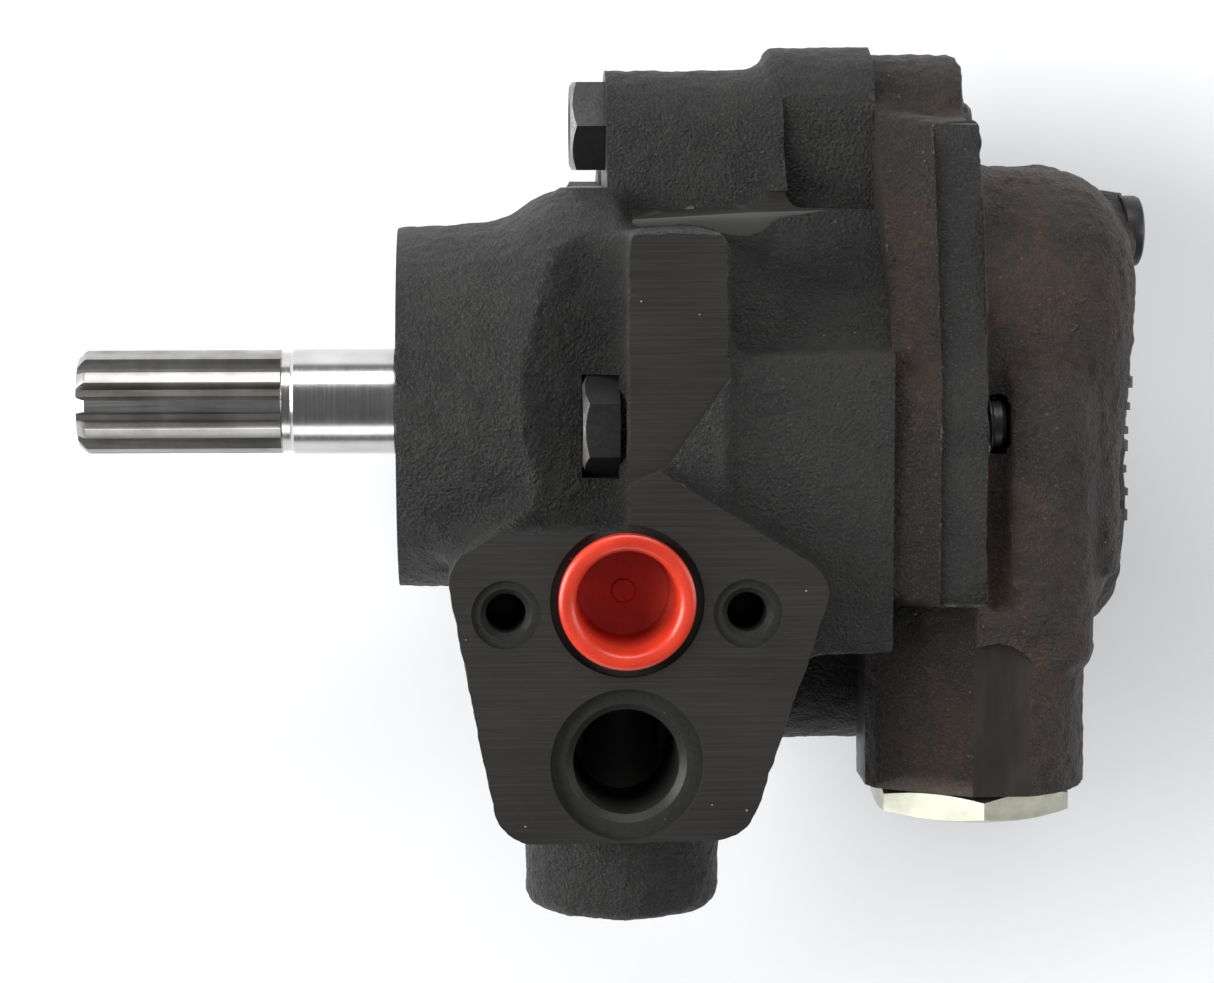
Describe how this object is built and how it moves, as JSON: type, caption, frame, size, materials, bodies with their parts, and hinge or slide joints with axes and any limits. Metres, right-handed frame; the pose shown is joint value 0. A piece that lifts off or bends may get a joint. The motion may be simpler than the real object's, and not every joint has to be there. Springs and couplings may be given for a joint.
{
  "type": "hydraulic gear pump",
  "caption": "Cast external gear pump with splined drive shaft, round nose, angled port pad with capped port, bolted domed rear cover and a hex-plugged valve boss.",
  "frame": {"origin": "centre of the nose's front face, on the drive shaft's axis", "axes": "+X along the drive shaft from its free end to the rear cover, +Z the outward normal of the port pad, +Y away from the hub below the pad"},
  "size_m": [0.1932, 0.1527, 0.104],
  "materials": {
    "cast_black": "painted black casting, bare milled faces",
    "cast_brown": "oiled brown-black casting",
    "black_oxide": "black oxide",
    "shaft_steel": "ground",
    "ground_steel": "ground",
    "gear_steel": "hardened and ground",
    "aluminium": "turned",
    "bronze": "bearing bronze",
    "nitrile": "moulded",
    "zinc": "yellow-tinted zinc plate",
    "cap_red": "moulded"
  },
  "bodies": {
    "housing": {"front_body": "cast_black", "rear_cover": "cast_brown", "cover_bolts": "black_oxide", "dowel_pins": "ground_steel", "cover_seal": "nitrile", "front_block_drive": "aluminium", "front_block_idler": "aluminium", "front_bushing_drive": "bronze", "front_bushing_idler": "bronze", "rear_bushing_drive": "bronze", "rear_bushing_idler": "bronze", "pressure_plate": "bronze", "pressure_plate_seal": "nitrile", "seal_case": "gear_steel", "seal_lip": "nitrile", "garter_spring": "ground_steel", "bearing_outer_race": "gear_steel", "housing_snap_ring": "black_oxide", "flow_spring": "gear_steel", "valve_plug": "zinc", "valve_plug_seal": "nitrile", "rear_plug": "black_oxide"},
    "drive_line": {"drive_shaft": "shaft_steel", "drive_gear": "gear_steel", "gear_key": "ground_steel", "bearing_inner_race": "gear_steel", "shaft_snap_ring": "black_oxide"},
    "idler_set": {"idler_shaft": "ground_steel", "idler_gear": "gear_steel"},
    "ball_set": {"bearing_balls": "ground_steel", "bearing_cage": "bronze"},
    "spool_set": {"flow_spool": "ground_steel", "relief_retainer": "gear_steel", "relief_spring": "gear_steel"},
    "poppet": {"relief_poppet": "ground_steel"},
    "cap": {"port_cap": "cap_red"}
  },
  "joints": [
    {"name": "shaft_spin", "type": "hinge", "parent": "housing", "child": "drive_line", "pos_m": [0, 0, 0], "axis": [1, 0, 0], "continuous": true},
    {"name": "idler_spin", "type": "hinge", "parent": "housing", "child": "idler_set", "pos_m": [0, 0, -0.03], "axis": [1, 0, 0], "continuous": true},
    {"name": "cage_spin", "type": "hinge", "parent": "housing", "child": "ball_set", "pos_m": [0, 0, 0], "axis": [1, 0, 0], "continuous": true},
    {"name": "spool_slide", "type": "slide", "parent": "housing", "child": "spool_set", "axis": [0, -1, 0], "range_m": [0, 0.006], "stiffness_N_per_m": 3000, "deforming": ["flow_spring"]},
    {"name": "relief_slide", "type": "slide", "parent": "spool_set", "child": "poppet", "axis": [0, -1, 0], "range_m": [0, 0.002], "stiffness_N_per_m": 2000, "deforming": ["relief_spring"]},
    {"name": "cap_pull", "type": "slide", "parent": "housing", "child": "cap", "axis": [0, 0, 1], "range_m": [0, 0.03]}
  ],
  "couplings": [
    {"joint": "idler_spin", "follows": "shaft_spin", "ratio": -1},
    {"joint": "cage_spin", "follows": "shaft_spin", "ratio": 0.3818}
  ]
}
